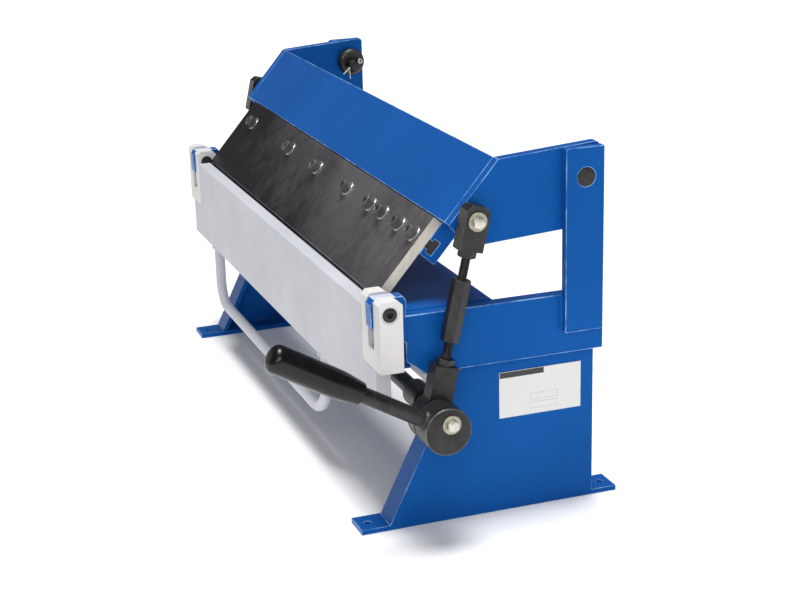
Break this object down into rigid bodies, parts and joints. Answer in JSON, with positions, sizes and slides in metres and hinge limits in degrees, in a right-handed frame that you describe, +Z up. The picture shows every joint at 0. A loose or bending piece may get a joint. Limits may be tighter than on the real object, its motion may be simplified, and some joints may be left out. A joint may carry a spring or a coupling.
{
  "type": "sheet metal brake",
  "caption": "Bench sheet metal brake: an eccentric lever and links clamp a segmented finger beam, and a hinged apron folds the sheet.",
  "frame": {"origin": "on the bench, at the centre of the foot holes", "axes": "+X towards the operator's right, where the lever is; -Y towards the operator and the apron; +Z up"},
  "size_m": [0.7772, 0.3653, 0.3582],
  "materials": {
    "frame_blue": "gloss enamel, blue",
    "apron_pale": "satin enamel, pale grey",
    "finger_steel": "ground and blued steel",
    "bright_steel": "zinc plated",
    "black_steel": "black oxide",
    "grip_plastic": "moulded gloss black",
    "label": "blank printed plate",
    "bronze": "sintered bronze"
  },
  "bodies": {
    "frame": {"left_foot_panel": "frame_blue", "right_foot_panel": "frame_blue", "left_side_plate": "frame_blue", "right_side_plate": "frame_blue", "left_post": "frame_blue", "right_post": "frame_blue", "bed_plate": "frame_blue", "bed_rib": "frame_blue", "bed_blade": "finger_steel", "bed_blade_screws": "black_steel", "front_tie_bar": "apron_pale", "left_shaft_bearing": "black_steel", "right_shaft_bearing": "black_steel", "hinge_bushes": "bronze", "pivot_pins": "black_steel", "pivot_collars": "black_steel", "split_pins": "bright_steel", "rating_plate": "label"},
    "clamp_beam": {"beam_front_plate": "frame_blue", "left_arm": "frame_blue", "right_arm": "frame_blue", "finger_rail": "frame_blue", "finger_1": "finger_steel", "finger_2": "finger_steel", "finger_3": "finger_steel", "finger_4": "finger_steel", "finger_5": "finger_steel", "finger_6": "finger_steel", "finger_7": "finger_steel", "finger_screws": "black_steel", "finger_washers": "bright_steel", "t_nuts": "black_steel", "link_bolts": "bright_steel", "link_bolt_washers": "bright_steel", "link_spacers": "black_steel"},
    "apron": {"apron_plate": "apron_pale", "left_hinge_block": "apron_pale", "right_hinge_block": "apron_pale", "hinge_screws": "black_steel", "bow_handle": "apron_pale"},
    "lever": {"cross_shaft": "black_steel", "left_eccentric": "black_steel", "right_eccentric": "black_steel", "left_hub": "black_steel", "right_hub": "black_steel", "lever_bar": "black_steel", "lever_grip": "grip_plastic", "hub_bolts": "bright_steel", "hub_washers": "bright_steel"},
    "left_link": {"left_clevis": "black_steel", "left_link_rods": "bright_steel", "left_jam_nuts": "black_steel", "left_big_end": "black_steel"},
    "left_sleeve": {"left_turnbuckle": "black_steel"},
    "right_link": {"right_clevis": "black_steel", "right_link_rods": "bright_steel", "right_jam_nuts": "black_steel", "right_big_end": "black_steel"},
    "right_sleeve": {"right_turnbuckle": "black_steel"}
  },
  "joints": [
    {"name": "lever_turn", "type": "hinge", "parent": "frame", "child": "lever", "pos_m": [0, -0.0654, 0.1245], "axis": [-1, 0, 0], "range_deg": [0, 41]},
    {"name": "beam_tilt", "type": "hinge", "parent": "frame", "child": "clamp_beam", "pos_m": [0, 0.0865, 0.3282], "axis": [-1, 0, 0], "range_deg": [0, 1.31]},
    {"name": "apron_swing", "type": "hinge", "parent": "frame", "child": "apron", "pos_m": [0, -0.1099, 0.2242], "axis": [-1, 0, 0], "range_deg": [0, 120]},
    {"name": "right_link_swing", "type": "hinge", "parent": "clamp_beam", "child": "right_link", "pos_m": [0.3525, -0.0262, 0.3016], "axis": [-1, 0, 0], "range_deg": [-0.19, 0.19]},
    {"name": "right_sleeve_turn", "type": "hinge", "parent": "right_link", "child": "right_sleeve", "pos_m": [0.3525, -0.0262, 0.3016], "axis": [0, 0.2229, 0.9748], "continuous": true},
    {"name": "left_link_swing", "type": "hinge", "parent": "clamp_beam", "child": "left_link", "pos_m": [-0.3525, -0.0262, 0.3016], "axis": [-1, 0, 0], "range_deg": [-0.19, 0.19]},
    {"name": "left_sleeve_turn", "type": "hinge", "parent": "left_link", "child": "left_sleeve", "pos_m": [-0.3525, -0.0262, 0.3016], "axis": [0, 0.2229, 0.9748], "continuous": true}
  ],
  "couplings": [
    {"joint": "beam_tilt", "follows": "lever_turn", "ratio": 0.03125},
    {"joint": "left_link_swing", "follows": "lever_turn", "ratio": -0.004},
    {"joint": "right_link_swing", "follows": "lever_turn", "ratio": -0.004}
  ]
}
